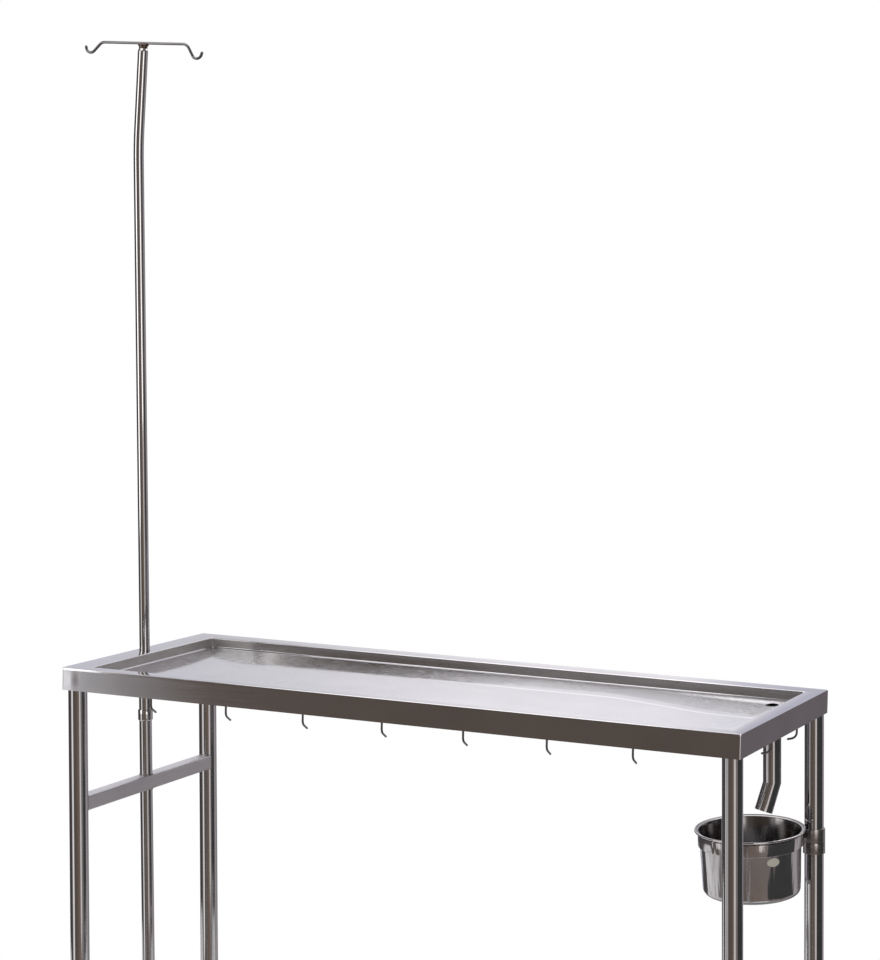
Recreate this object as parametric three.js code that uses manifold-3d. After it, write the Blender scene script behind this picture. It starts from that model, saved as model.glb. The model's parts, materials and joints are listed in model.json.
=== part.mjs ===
// Veterinary exam table: a pitched drain tray on tube legs, with a drip pole and a drain bucket.
// Millimetres, +Z up, +X towards the drain end, +Y towards the back, feet on the ground.
import * as THREE from 'three';
import { mergeVertices } from 'three/addons/utils/BufferGeometryUtils.js';
import Module from 'manifold-3d';

const wasm = await Module();
wasm.setup();

// Fits
const gap = 0.3;
const slideClearance = 0.8;

// Tray
const topLength = 1180;
const topDepth = 475;
const topHeight = 850;
const topPitch = THREE.MathUtils.degToRad(1.7);
const sheet = 1.5;
const skirtHeight = 38;
const floorDepth = 18;
const rimLeft = 40;
const rimRight = 30;
const rimFront = 31;
const rimRear = 36;
const rimFall = 0.9;
const cornerRadius = 2.5;
const edgeRadius = 1.5;
const wallBend = 2;
const floorFillet = 2;
const floorLap = 4;

// Drain in the floor and the fall towards it
const drainFromEnd = 75;
const drainFromBack = 68;
const drainBore = 22;
const fallDepth = 5;
const fallLength = 300;
const fallWidth = 190;

// Stiffeners under the floor
const stiffenerSpacing = 380;
const stiffenerCrown = 40;
const stiffenerFlange = 18;
const stiffenerHeight = 16;
const stiffenerSheet = 1.2;

// Legs and feet
const legDiameter = 32;
const legWall = 1.5;
const footPadDiameter = 40;
const footPadHeight = 12;
const footPadEdge = 1.5;
const footNeckStep = 1;
const footStemDiameter = 10;
const footStemLength = 34;
const insertFlange = 3;
const insertLength = 40;

// Drip pole, its tube and the bars that carry the tube
const poleDiameter = 18;
const poleWall = 1.2;
const poleAboveRim = 1052;
const poleInTube = 230;
const poleBendFromTop = 172;
const poleBend = THREE.MathUtils.degToRad(4);
const poleBendRadius = 900;
const poleLean = THREE.MathUtils.degToRad(0.3);
const plugHead = 2.5;
const plugSpigot = 15;
const glideLength = 12;
const tubeWall = 1.2;
const tubeCollarDrop = 104;
const tubeCollarHeight = 19;
const tubeCollarWall = 1.6;
const tubeCollarChamfer = 1.5;
const barLand = 1.2;
const barWall = 1.5;
const barCorner = 2.5;
const upperBarDrop = 214;
const lowerBarHeight = 150;

// Hook bar on the pole
const barWire = 5;
const barShoulderBend = 14;
const barDipBend = 9.5;
const barTipAngle = 75;
const barTip = 5.5;
const leftShoulder = 78;
const leftSlope = 15.5;
const leftSlopeAngle = 46;
const rightShoulder = 79;
const rightSlope = 15.5;
const rightSlopeAngle = 58;

// Tie hooks under the skirt
const hookWire = 3.5;
const hookWeld = 18;
const hookBend = 11;
const hookPitch = 140;
const sideHookDrop = 9.5;
const sideHookAngle = 60;
const sideHookTail = 13.5;
const sideHookCount = 7;
const endHookDrop = 7;
const endHookAngle = 75;
const endHookTail = 8;
const endHookCount = 2;

// Drain pipe
const pipeDiameter = 30;
const pipeWall = 1.5;
const pipeDrop = 131.5;
const pipeSlant = THREE.MathUtils.degToRad(18.5);
const pipeSlantLength = 49;

// Bucket and its hanger on the leg
const bucketRim = 182;
const bucketBody = 167;
const bucketBase = 160;
const bucketHeight = 108;
const bucketWall = 1;
const bucketBaseBend = 11;
const bucketLip = 6.5;
const bucketBead = 1.8;
const ringHeight = 20;
const ringWall = 2;
const ringRise = 8;
const armLength = 11;
const armWidth = 14;
const armHeight = 20;
const collarWall = 2;
const swivelHeight = 22.5;
const stopHeight = 18.5;
const swivelDrop = 256;
const hangerAngle = THREE.MathUtils.degToRad(222);
const hangerDroop = THREE.MathUtils.degToRad(3);
const hangerTwist = THREE.MathUtils.degToRad(2.4);

// Sizes that follow from the ones above
const legRadius = legDiameter / 2;
const legBore = legRadius - legWall;
const skirtDrift = skirtHeight * Math.sin(topPitch);
const legInset = sheet + gap + skirtDrift + legRadius;
const floorEdge = floorFillet + floorLap;
const floorLeft = rimLeft + floorEdge - topLength / 2;
const floorRight = topLength / 2 - rimRight - floorEdge;
const floorFront = rimFront + floorEdge - topDepth / 2;
const floorRear = topDepth / 2 - rimRear - floorEdge;
const legX = (topLength / 2) * Math.cos(topPitch) - legInset;
const legY = topDepth / 2 - sheet - gap - legRadius;
const legBottom = footPadHeight + gap + insertFlange + gap;
const drainX = topLength / 2 - drainFromEnd;
const drainY = topDepth / 2 - drainFromBack;
const tubeBore = poleDiameter / 2 + slideClearance;
const tubeRadius = tubeBore + tubeWall;
const barSize = 2 * (tubeRadius + gap + barLand);
const collarRadius = legRadius + gap + collarWall;
const ringBore = bucketBody / 2 + gap;
const ringRadius = ringBore + ringWall;
const hangerReach = collarRadius + armLength + ringRadius;
const upperBarZ = topHeight - upperBarDrop;
const poleRise = (upperBarDrop + legX * Math.tan(topPitch))
  / (Math.cos(poleLean) - Math.sin(poleLean) * Math.tan(topPitch));
const poleAtRim = legX + poleRise * Math.sin(poleLean);

// Finishes
const satinSteel = { color: 0xb4b1b3, roughness: 0.34, metalness: 1 };
const polishedSteel = { color: 0xc9c8ca, roughness: 0.14, metalness: 1 };
const darkSteel = { color: 0x2b2a2c, roughness: 0.5, metalness: 0.8 };
const greyNylon = { color: 0x4a4b4d, roughness: 0.6, metalness: 0 };
const blackRubber = { color: 0x1c1c1d, roughness: 0.8, metalness: 0 };

// Solids from geometries and back, for cuts and joins

function toSolid(geometry) {
  const bare = geometry.clone();
  bare.deleteAttribute('normal');
  bare.deleteAttribute('uv');
  const merged = mergeVertices(bare, 1e-4);
  const corners = [];
  const index = merged.index.array;
  for (let i = 0; i < index.length; i += 3) {
    const [a, b, c] = index.slice(i, i + 3);
    if (a !== b && b !== c && c !== a) corners.push(a, b, c);
  }
  return new wasm.Manifold(new wasm.Mesh({
    numProp: 3,
    vertProperties: Float32Array.from(merged.attributes.position.array),
    triVerts: Uint32Array.from(corners),
  }));
}

function toGeometry(solid) {
  const mesh = solid.getMesh();
  const geometry = new THREE.BufferGeometry();
  geometry.setAttribute('position', new THREE.BufferAttribute(Float32Array.from(mesh.vertProperties), 3));
  geometry.setIndex(new THREE.BufferAttribute(Uint32Array.from(mesh.triVerts), 1));
  geometry.computeVertexNormals();
  return geometry;
}

function cut(geometry, ...tools) {
  return toGeometry(tools.reduce((solid, tool) => solid.subtract(toSolid(tool)), toSolid(geometry)));
}

function join(first, ...others) {
  return toGeometry(others.reduce((solid, other) => solid.add(toSolid(other)), toSolid(first)));
}

function addPiece(parent, name, geometry, finish) {
  const piece = new THREE.Mesh(geometry, new THREE.MeshStandardMaterial(finish));
  piece.name = name;
  parent.add(piece);
  return piece;
}

function addGroup(parent) {
  const group = new THREE.Group();
  parent.add(group);
  return group;
}

// Outlines and basic forms

function arc(x, y, radius, fromDegrees, toDegrees, steps) {
  return Array.from({ length: steps + 1 }, (_, i) => {
    const angle = THREE.MathUtils.degToRad(fromDegrees + ((toDegrees - fromDegrees) * i) / steps);
    return new THREE.Vector2(x + radius * Math.cos(angle), y + radius * Math.sin(angle));
  });
}

function point(x, y) {
  return new THREE.Vector2(x, y);
}

function circle(radius, sides) {
  return arc(0, 0, radius, 0, 360 - 360 / sides, sides - 1);
}

function roundedRectangle(width, height, radius, steps) {
  const x = width / 2 - radius;
  const y = height / 2 - radius;
  return [
    ...arc(x, y, radius, 0, 90, steps),
    ...arc(-x, y, radius, 90, 180, steps),
    ...arc(-x, -y, radius, 180, 270, steps),
    ...arc(x, -y, radius, 270, 360, steps),
  ];
}

// A revolved body about +Z; the outline runs from the axis to the axis, or closes on itself.
function revolve(outline, sides) {
  const geometry = new THREE.LatheGeometry(outline, sides);
  geometry.rotateX(Math.PI / 2);
  return facingOut(geometry);
}

function sleeve(outer, inner, low, high, sides) {
  const outline = [point(inner, low), point(outer, low), point(outer, high), point(inner, high)];
  return revolve([...outline, outline[0]], sides);
}

function rod(radius, low, high, sides) {
  return revolve([point(0, low), point(radius, low), point(radius, high), point(0, high)], sides);
}

// Turns every face outwards, told from the sign of the enclosed volume.
function facingOut(geometry) {
  const position = geometry.attributes.position;
  const index = geometry.index;
  const [a, b, c] = [new THREE.Vector3(), new THREE.Vector3(), new THREE.Vector3()];
  let volume = 0;
  for (let i = 0; i < index.count; i += 3) {
    a.fromBufferAttribute(position, index.getX(i));
    b.fromBufferAttribute(position, index.getX(i + 1));
    c.fromBufferAttribute(position, index.getX(i + 2));
    volume += a.dot(b.cross(c));
  }
  if (volume < 0) index.array.reverse();
  return toGeometry(toSolid(geometry));
}

// Joins a closed loop of equal rings of points into one hollow body.
function loft(rings) {
  const count = rings[0].length;
  const index = [];
  rings.forEach((ring, i) => {
    const here = i * count;
    const next = ((i + 1) % rings.length) * count;
    ring.forEach((_, j) => {
      const k = (j + 1) % count;
      index.push(here + j, next + j, next + k, here + j, next + k, here + k);
    });
  });
  const geometry = new THREE.BufferGeometry().setFromPoints(rings.flat());
  geometry.setIndex(index);
  return facingOut(geometry);
}

// A path of straight runs between given points, swept one step per run.
class RunPath extends THREE.Curve {
  constructor(points) {
    super();
    this.points = points;
  }

  getPoint(t, target = new THREE.Vector3()) {
    const place = t * (this.points.length - 1);
    const run = Math.min(Math.floor(place), this.points.length - 2);
    return target.lerpVectors(this.points[run], this.points[run + 1], place - run);
  }

  getUtoTmapping(u) {
    return u;
  }
}

function sweep(outline, hole, points) {
  const shape = new THREE.Shape(outline);
  if (hole) shape.holes.push(new THREE.Path(hole));
  const path = new RunPath(points);
  return new THREE.ExtrudeGeometry(shape, { steps: points.length - 1, extrudePath: path });
}

// Points of a bent wire or tube in the XZ plane, from runs in millimetres and turns in degrees.
function bentWire(start, headingDegrees, moves, facetDegrees = 24) {
  const place = start.clone();
  const points = [place.clone()];
  let heading = THREE.MathUtils.degToRad(headingDegrees);
  const step = (length) => {
    place.x += length * Math.cos(heading);
    place.z += length * Math.sin(heading);
    points.push(place.clone());
  };
  moves.forEach(({ run, turn, radius }) => {
    if (run) {
      step(run);
      return;
    }
    const steps = Math.ceil(Math.abs(turn) / facetDegrees);
    const bend = THREE.MathUtils.degToRad(turn) / steps;
    for (let i = 0; i < steps; i += 1) {
      heading += bend / 2;
      step(2 * radius * Math.sin(Math.abs(bend) / 2));
      heading += bend / 2;
    }
  });
  return points;
}

// The tray's own frame: its top plane at the middle of the table, pitched towards the drain end.
const trayFrame = new THREE.Matrix4()
  .makeRotationY(topPitch)
  .setPosition(0, 0, topHeight);

// The drip pole's line: it leans a little outwards from its place in the upper crossbar.
const poleFrame = new THREE.Matrix4()
  .makeRotationY(-poleLean)
  .setPosition(-legX, 0, upperBarZ);

// The bucket ring's tilt against the leg it hangs on
const hangerTilt = new THREE.Euler(-hangerTwist, hangerDroop, 0);

function rimHeightAt(x) {
  return topHeight - x * Math.tan(topPitch);
}

// Everything above the underside of the rim, for cutting what stands under it.
function aboveRim() {
  const reach = 2 * (topLength + poleAboveRim);
  const block = new THREE.BoxGeometry(reach, reach, reach);
  block.translate(0, 0, reach / 2 - rimFall - sheet - gap);
  return block.applyMatrix4(trayFrame);
}

// The space that the basin needs in the tops of the legs, with its clearance.
function basinBlock() {
  const clear = sheet + gap;
  const width = topLength - rimLeft - rimRight + 2 * clear;
  const depth = topDepth - rimFront - rimRear + 2 * clear;
  const block = new THREE.BoxGeometry(width, depth, topHeight);
  block.translate((rimLeft - rimRight) / 2, (rimFront - rimRear) / 2, topHeight / 2 - floorDepth - clear);
  return block.applyMatrix4(trayFrame);
}

// Tray

function fallAt(x, y) {
  const endRoom = floorRight - drainX;
  const backRoom = floorRear - drainY;
  const across = (x - drainX) / (x < drainX ? fallLength : endRoom);
  const along = (y - drainY) / (y < drainY ? fallWidth : backRoom);
  const reach = Math.min(1, Math.hypot(across, along));
  return fallDepth * Math.cos((Math.PI / 2) * reach) ** 2;
}

function spread(from, to, steps) {
  return Array.from({ length: steps }, (_, i) => from + ((to - from) * i) / steps);
}

// A floor-sized slab that follows the fall; its two faces lie at the given depths below the rim.
function floorSlab(upperDepth, lowerDepth) {
  const lap = floorLap / 2;
  const columns = [
    floorLeft - lap,
    ...spread(drainX - fallLength, drainX, 11),
    ...spread(drainX, floorRight, 5),
    floorRight,
    floorRight + lap,
  ];
  const rows = [
    floorFront - lap,
    ...spread(drainY - fallWidth, drainY, 8),
    ...spread(drainY, floorRear, 5),
    floorRear,
    floorRear + lap,
  ];
  const slab = new THREE.BoxGeometry(1, 1, 1, columns.length - 1, rows.length - 1, 1);
  const position = slab.attributes.position;
  for (let i = 0; i < position.count; i += 1) {
    const x = columns[Math.round((position.getX(i) + 0.5) * (columns.length - 1))];
    const y = rows[Math.round((position.getY(i) + 0.5) * (rows.length - 1))];
    const depth = position.getZ(i) > 0 ? upperDepth : lowerDepth;
    position.setXYZ(i, x, y, -depth - fallAt(x, y));
  }
  return slab;
}

// Everything above the underside of the floor, for cutting what hangs under it.
function aboveFloor() {
  return floorSlab(-topHeight, floorDepth + sheet + gap);
}

// The bent sheet's section: the skirt from the outer edge, the wall from its own rim, as (inset, height).
function traySection() {
  const bendZ = -wallBend - rimFall;
  const filletZ = floorFillet - floorDepth;
  const skirtOutside = [
    point(0, -skirtHeight),
    ...arc(edgeRadius, -edgeRadius, edgeRadius, 180, 90, 2),
  ];
  const wall = [
    ...arc(-wallBend, bendZ, wallBend, 90, 0, 4),
    ...arc(floorFillet, filletZ, floorFillet, 180, 270, 3),
    point(floorEdge, -floorDepth),
    point(floorEdge, -floorDepth - sheet),
    ...arc(floorFillet, filletZ, floorFillet + sheet, 270, 180, 3),
    ...arc(-wallBend, bendZ, wallBend - sheet, 0, 90, 4),
  ];
  const skirtInside = [point(sheet, -sheet), point(sheet, -skirtHeight)];
  return { skirtOutside, wall, skirtInside };
}

// One level ring round the tray, inset from its outer edges and from its four rims.
function trayRing({ x: inset, y: height }, [left, right, front, rear]) {
  const width = topLength - left - right - 2 * inset;
  const depth = topDepth - front - rear - 2 * inset;
  return roundedRectangle(width, depth, cornerRadius, 2)
    .map(({ x, y }) => new THREE.Vector3(x + (left - right) / 2, y + (front - rear) / 2, height));
}

function makeTray() {
  const { skirtOutside, wall, skirtInside } = traySection();
  const outer = [0, 0, 0, 0];
  const rims = [rimLeft, rimRight, rimFront, rimRear];
  const rings = [
    ...skirtOutside.map((place) => trayRing(place, outer)),
    ...wall.map((place) => trayRing(place, rims)),
    ...skirtInside.map((place) => trayRing(place, outer)),
  ];
  const drainCut = rod(drainBore / 2, -2 * skirtHeight, skirtHeight, 24);
  drainCut.translate(drainX, drainY, 0);
  const poleCut = rod(poleDiameter / 2 + slideClearance, -floorDepth, skirtHeight, 28);
  poleCut.translate(-poleAtRim / Math.cos(topPitch), 0, 0);
  const floor = floorSlab(floorDepth, floorDepth + sheet);
  return cut(join(loft(rings), floor), drainCut, poleCut);
}

// A top-hat channel across the underside of the floor
function makeStiffener(x) {
  const half = stiffenerCrown / 2;
  const outline = [
    point(-half - stiffenerFlange, 0),
    point(-half, 0),
    point(-half + stiffenerSheet, -stiffenerHeight + stiffenerSheet),
    point(half - stiffenerSheet, -stiffenerHeight + stiffenerSheet),
    point(half, 0),
    point(half + stiffenerFlange, 0),
    point(half + stiffenerFlange, -stiffenerSheet),
    point(half + stiffenerSheet, -stiffenerSheet),
    point(half, -stiffenerHeight),
    point(-half, -stiffenerHeight),
    point(-half - stiffenerSheet, -stiffenerSheet),
    point(-half - stiffenerFlange, -stiffenerSheet),
  ];
  const length = floorRear - floorFront;
  const channel = new THREE.ExtrudeGeometry(new THREE.Shape(outline), { depth: length, bevelEnabled: false });
  channel.rotateX(Math.PI / 2);
  channel.translate(x, floorRear, -floorDepth - sheet - gap);
  return cut(channel, aboveFloor());
}

// A tie hook with its weld line on local Z and its tail pointing along +X
function makeTieHook({ drop, angle, tail }) {
  const points = bentWire(new THREE.Vector3(0, 0, hookWeld), -90, [
    { run: hookWeld + drop },
    { turn: angle, radius: hookBend },
    { run: tail },
  ]);
  return sweep(circle(hookWire / 2, 8), null, points);
}

// Frame

function makeLeg() {
  const height = rimHeightAt(-legX) + legDiameter;
  return sleeve(legRadius, legBore, legBottom, height, 32);
}

function makeSquareBar(length) {
  const outline = roundedRectangle(barSize, barSize, barCorner, 2);
  const bore = barSize - 2 * barWall;
  const hole = roundedRectangle(bore, bore, barCorner - barWall, 2);
  return sweep(outline, hole, [new THREE.Vector3(0, -length / 2, 0), new THREE.Vector3(0, length / 2, 0)]);
}

// A bar between a front leg and a back leg, its ends shaped to the legs
function makeEndBar() {
  return cut(makeSquareBar(2 * legY), ...[-legY, legY].map((y) => {
    const saddle = rod(legRadius + gap, -barSize, barSize, 32);
    return saddle.translate(0, y, 0);
  }));
}

function makeFootInsert() {
  const bore = footStemDiameter / 2 + gap;
  const plug = legBore - gap;
  const outline = [
    point(bore, -insertFlange),
    point(legRadius, -insertFlange),
    point(legRadius, 0),
    point(plug, 0),
    point(plug, insertLength),
    point(bore, insertLength),
  ];
  return revolve([...outline, outline[0]], 28);
}

function makeFoot() {
  const pad = footPadDiameter / 2;
  const stem = footStemDiameter / 2;
  return revolve([
    point(0, 0),
    point(pad - footPadEdge, 0),
    point(pad, footPadEdge),
    point(pad, footPadHeight / 2),
    point(legRadius - footNeckStep, footPadHeight),
    point(stem, footPadHeight),
    point(stem, footPadHeight + footStemLength),
    point(0, footPadHeight + footStemLength),
  ], 28);
}

// Drip pole

function makeTubeCollar() {
  const bore = tubeRadius + gap;
  const outer = bore + tubeCollarWall;
  const outline = [
    point(bore, 0),
    point(outer - tubeCollarChamfer, 0),
    point(outer, tubeCollarChamfer),
    point(outer, tubeCollarHeight),
    point(bore, tubeCollarHeight),
  ];
  return revolve([...outline, outline[0]], 28);
}

function makePole() {
  const setback = poleBendRadius * Math.tan(poleBend / 2);
  const points = bentWire(new THREE.Vector3(0, 0, -poleInTube), 90, [
    { run: poleInTube + poleAboveRim - poleBendFromTop - setback },
    { turn: -THREE.MathUtils.radToDeg(poleBend), radius: poleBendRadius },
    { run: poleBendFromTop - setback },
  ], 1.5);
  const pole = sweep(circle(poleDiameter / 2, 24), circle(poleDiameter / 2 - poleWall, 24), points);
  return { pole, top: points.at(-1) };
}

// Closes the pole: a round head on the tube's end with a spigot inside it
function makePlug(length) {
  const spigot = poleDiameter / 2 - poleWall - gap;
  return revolve([
    point(0, -length),
    point(spigot, -length),
    point(spigot, gap),
    point(poleDiameter / 2, gap),
    point(poleDiameter / 2, plugHead + gap),
    point(0, plugHead + gap),
  ], 24);
}

// The runner at the pole's lower end: a spigot inside the pole on a collar that slides in the tube
function makeGlide() {
  const spigot = poleDiameter / 2 - poleWall - gap;
  const runner = tubeBore - gap;
  return revolve([
    point(0, -glideLength - gap),
    point(runner, -glideLength - gap),
    point(runner, -gap),
    point(spigot, -gap),
    point(spigot, plugSpigot),
    point(0, plugSpigot),
  ], 24);
}

// Half of the hook bar, from its seat on the pole outwards
function barHalf(shoulder, slopeAngle, slope) {
  return bentWire(new THREE.Vector3(), 0, [
    { run: shoulder },
    { turn: -slopeAngle, radius: barShoulderBend },
    { run: slope },
    { turn: slopeAngle + barTipAngle, radius: barDipBend },
    { run: barTip },
  ]);
}

function makeHookBar() {
  const right = barHalf(rightShoulder, rightSlopeAngle, rightSlope);
  const left = barHalf(leftShoulder, leftSlopeAngle, leftSlope);
  const mirrored = left.slice(1).reverse().map(({ x, z }) => new THREE.Vector3(-x, 0, z));
  return sweep(circle(barWire / 2, 10), null, [...mirrored, ...right]);
}

// Drain pipe from the underside of the floor, with one mitre towards the bucket
function makeDrainPipe(towards) {
  const start = new THREE.Vector3(drainX, drainY, -floorDepth).applyMatrix4(trayFrame);
  const heading = towards.clone().sub(start).setZ(0).normalize();
  const mitre = start.clone();
  mitre.z -= pipeDrop;
  const slant = heading.multiplyScalar(Math.sin(pipeSlant));
  slant.z = -Math.cos(pipeSlant);
  const end = slant.multiplyScalar(pipeSlantLength).add(mitre);
  const radius = pipeDiameter / 2;
  const pipe = sweep(circle(radius, 28), circle(radius - pipeWall, 28), [start, mitre, end]);
  return cut(pipe, aboveFloor().applyMatrix4(trayFrame));
}

// Bucket: a pressed pail with a flared and rolled lip; its height 0 is the seat of the lip on the ring
function makeBucket() {
  const base = bucketBase / 2;
  const body = bucketBody / 2;
  const bottom = bucketLip - bucketHeight;
  const bend = bucketBaseBend;
  const bead = arc(bucketRim / 2 - bucketBead, bucketLip - bucketBead, bucketBead, -70, 160, 5);
  return revolve([
    point(0, bottom),
    ...arc(base - bend, bottom + bend, bend, 270, 360, 4),
    point(body, -gap),
    point(body + bucketBead, bucketLip / 2),
    ...bead,
    point(body - bucketWall + bucketBead, bucketLip / 2 + bucketWall),
    point(body - bucketWall, -gap),
    ...arc(base - bend, bottom + bend, bend - bucketWall, 360, 270, 4),
    point(0, bottom + bucketWall),
  ], 44);
}

// The short arm between the swivel collar and the ring, its ends shaped to both
function makeArm() {
  const arm = new THREE.BoxGeometry(hangerReach, armWidth, armHeight);
  arm.translate(hangerReach / 2, 0, 0);
  const collar = rod(collarRadius + gap, -swivelHeight, swivelHeight, 32);
  collar.translate(0, 0, -ringRise);
  collar.applyMatrix4(new THREE.Matrix4().makeRotationFromEuler(hangerTilt).invert());
  const ring = rod(ringRadius + gap, -ringHeight, ringHeight, 44);
  ring.translate(hangerReach, 0, 0);
  return cut(arm, collar, ring);
}

// Assembly

const table = new THREE.Group();

const tray = addGroup(table);
tray.applyMatrix4(trayFrame);
addPiece(tray, 'tray_top', makeTray(), satinSteel);
[['left', -1], ['right', 1]].forEach(([side, sign]) => {
  const place = (sign * stiffenerSpacing) / 2;
  addPiece(tray, `stiffener_${side}`, makeStiffener(place), satinSteel);
});

// Tie hooks along one side, their tails turned inwards; distance is from the middle to that side
function addHooks(side, shape, count, turn, distance) {
  const row = addGroup(tray);
  row.rotation.z = turn;
  for (let i = 0; i < count; i += 1) {
    const hook = addPiece(row, `tie_hook_${side}_${i + 1}`, makeTieHook(shape), polishedSteel);
    const along = (i - (count - 1) / 2) * hookPitch;
    hook.position.set(-distance + sheet + gap + hookWire / 2, along, -skirtHeight);
  }
}
const sideHook = { drop: sideHookDrop, angle: sideHookAngle, tail: sideHookTail };
const endHook = { drop: endHookDrop, angle: endHookAngle, tail: endHookTail };
addHooks('front', sideHook, sideHookCount, Math.PI / 2, topDepth / 2);
addHooks('rear', sideHook, sideHookCount, -Math.PI / 2, topDepth / 2);
addHooks('left', endHook, endHookCount, 0, topLength / 2);
addHooks('right', endHook, endHookCount, Math.PI, topLength / 2);

[['front_left', -1, -1], ['front_right', 1, -1], ['rear_left', -1, 1], ['rear_right', 1, 1]]
  .forEach(([corner, signX, signY]) => {
    const leg = makeLeg().translate(signX * legX, signY * legY, 0);
    addPiece(table, `leg_${corner}`, cut(leg, aboveRim(), basinBlock()), polishedSteel);
    const insert = addPiece(table, `foot_insert_${corner}`, makeFootInsert(), greyNylon);
    insert.position.set(signX * legX, signY * legY, legBottom - gap);
    const foot = addPiece(table, `foot_${corner}`, makeFoot(), blackRubber);
    foot.position.set(signX * legX, signY * legY, 0);
  });

const tubePassage = rod(tubeRadius + gap, -barSize, barSize, 28).rotateY(-poleLean);
const upperBar = addPiece(table, 'crossbar_left_upper', cut(makeEndBar(), tubePassage), satinSteel);
upperBar.position.set(-legX, 0, upperBarZ);
[['left', -1], ['right', 1]].forEach(([side, sign]) => {
  const bar = addPiece(table, `crossbar_${side}_lower`, makeEndBar(), satinSteel);
  bar.position.set(sign * legX, 0, lowerBarHeight);
});
const stretcher = addPiece(table, 'stretcher_lower', makeSquareBar(2 * legX - barSize - 2 * gap), satinSteel);
stretcher.position.set(0, 0, lowerBarHeight);
stretcher.rotation.z = Math.PI / 2;

const poleLine = addGroup(table);
poleLine.applyMatrix4(poleFrame);
const tubeFoot = lowerBarHeight + barSize / 2 + gap - upperBarZ;
const tube = sleeve(tubeRadius, tubeBore, tubeFoot, poleRise + tubeRadius, 28);
const rimInLine = aboveRim().applyMatrix4(poleFrame.clone().invert());
addPiece(poleLine, 'pole_tube', cut(tube, rimInLine), polishedSteel);
const tubeCollar = addPiece(poleLine, 'pole_tube_collar', makeTubeCollar(), polishedSteel);
tubeCollar.position.z = poleRise - tubeCollarDrop - tubeCollarHeight;

const dripPole = addGroup(poleLine);
dripPole.position.z = poleRise;
const { pole, top: poleTop } = makePole();
addPiece(dripPole, 'drip_pole', pole, polishedSteel);
const glide = addPiece(dripPole, 'pole_glide', makeGlide(), greyNylon);
glide.position.z = -poleInTube;
const poleHead = addGroup(dripPole);
poleHead.position.copy(poleTop);
poleHead.rotation.y = poleBend;
addPiece(poleHead, 'pole_plug', makePlug(plugSpigot), polishedSteel);
const hookBar = addPiece(poleHead, 'hook_bar', makeHookBar(), polishedSteel);
hookBar.position.z = plugHead + 2 * gap + barWire / 2;

const hanger = addGroup(table);
hanger.position.set(legX, legY, topHeight - swivelDrop);
hanger.rotation.z = hangerAngle;
const swivel = sleeve(collarRadius, legRadius + gap, -swivelHeight / 2, swivelHeight / 2, 32);
addPiece(hanger, 'swivel_collar', swivel, polishedSteel);
const stop = sleeve(collarRadius, legRadius + gap, -stopHeight, 0, 32);
addPiece(hanger, 'stop_collar', stop, polishedSteel).position.z = -swivelHeight / 2 - gap;
const carrier = addGroup(hanger);
carrier.position.z = ringRise;
carrier.rotation.copy(hangerTilt);
addPiece(carrier, 'bucket_arm', makeArm(), darkSteel);
const ring = sleeve(ringRadius, ringBore, -ringHeight / 2, ringHeight / 2, 44);
addPiece(carrier, 'bucket_ring', ring, satinSteel).position.x = hangerReach;
const bucket = addPiece(carrier, 'bucket', makeBucket(), polishedSteel);
bucket.position.set(hangerReach, 0, ringHeight / 2 + gap);

table.updateMatrixWorld(true);
const bucketPlace = new THREE.Vector3().setFromMatrixPosition(bucket.matrixWorld);
addPiece(table, 'drain_pipe', makeDrainPipe(bucketPlace), polishedSteel);

// Stands the whole piece over the middle of its own footprint.
const extent = new THREE.Box3().setFromObject(table, true);
const middle = extent.getCenter(new THREE.Vector3());
table.position.set(-middle.x, -middle.y, -extent.min.z);

export default table;
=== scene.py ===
"""Looks of the veterinary exam table: finer pieces over the solids, materials, studio and camera."""

import json
import math

import bmesh
import bpy
from mathutils import Matrix, Vector

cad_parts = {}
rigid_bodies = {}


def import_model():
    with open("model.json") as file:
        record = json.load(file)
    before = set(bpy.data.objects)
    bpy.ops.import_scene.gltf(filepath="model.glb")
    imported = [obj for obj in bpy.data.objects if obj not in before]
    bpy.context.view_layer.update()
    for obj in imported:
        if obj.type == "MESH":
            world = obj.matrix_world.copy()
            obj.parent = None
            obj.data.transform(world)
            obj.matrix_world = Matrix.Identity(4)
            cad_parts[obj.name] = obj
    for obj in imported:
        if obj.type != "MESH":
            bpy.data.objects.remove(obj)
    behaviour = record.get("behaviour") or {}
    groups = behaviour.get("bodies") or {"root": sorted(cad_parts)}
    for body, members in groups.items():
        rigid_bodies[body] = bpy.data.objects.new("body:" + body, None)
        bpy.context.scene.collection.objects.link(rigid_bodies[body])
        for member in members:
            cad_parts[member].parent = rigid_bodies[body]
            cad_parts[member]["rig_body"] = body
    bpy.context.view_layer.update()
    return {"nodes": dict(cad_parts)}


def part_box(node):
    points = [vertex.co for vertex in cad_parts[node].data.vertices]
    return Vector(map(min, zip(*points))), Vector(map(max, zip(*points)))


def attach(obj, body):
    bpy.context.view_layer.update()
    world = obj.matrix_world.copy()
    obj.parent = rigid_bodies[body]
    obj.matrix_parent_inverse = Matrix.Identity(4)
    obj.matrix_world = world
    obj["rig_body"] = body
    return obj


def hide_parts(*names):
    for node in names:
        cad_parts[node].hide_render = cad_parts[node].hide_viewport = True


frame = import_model()
scene = bpy.context.scene
MM = 0.001
MICRON = 0.001 * MM


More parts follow.
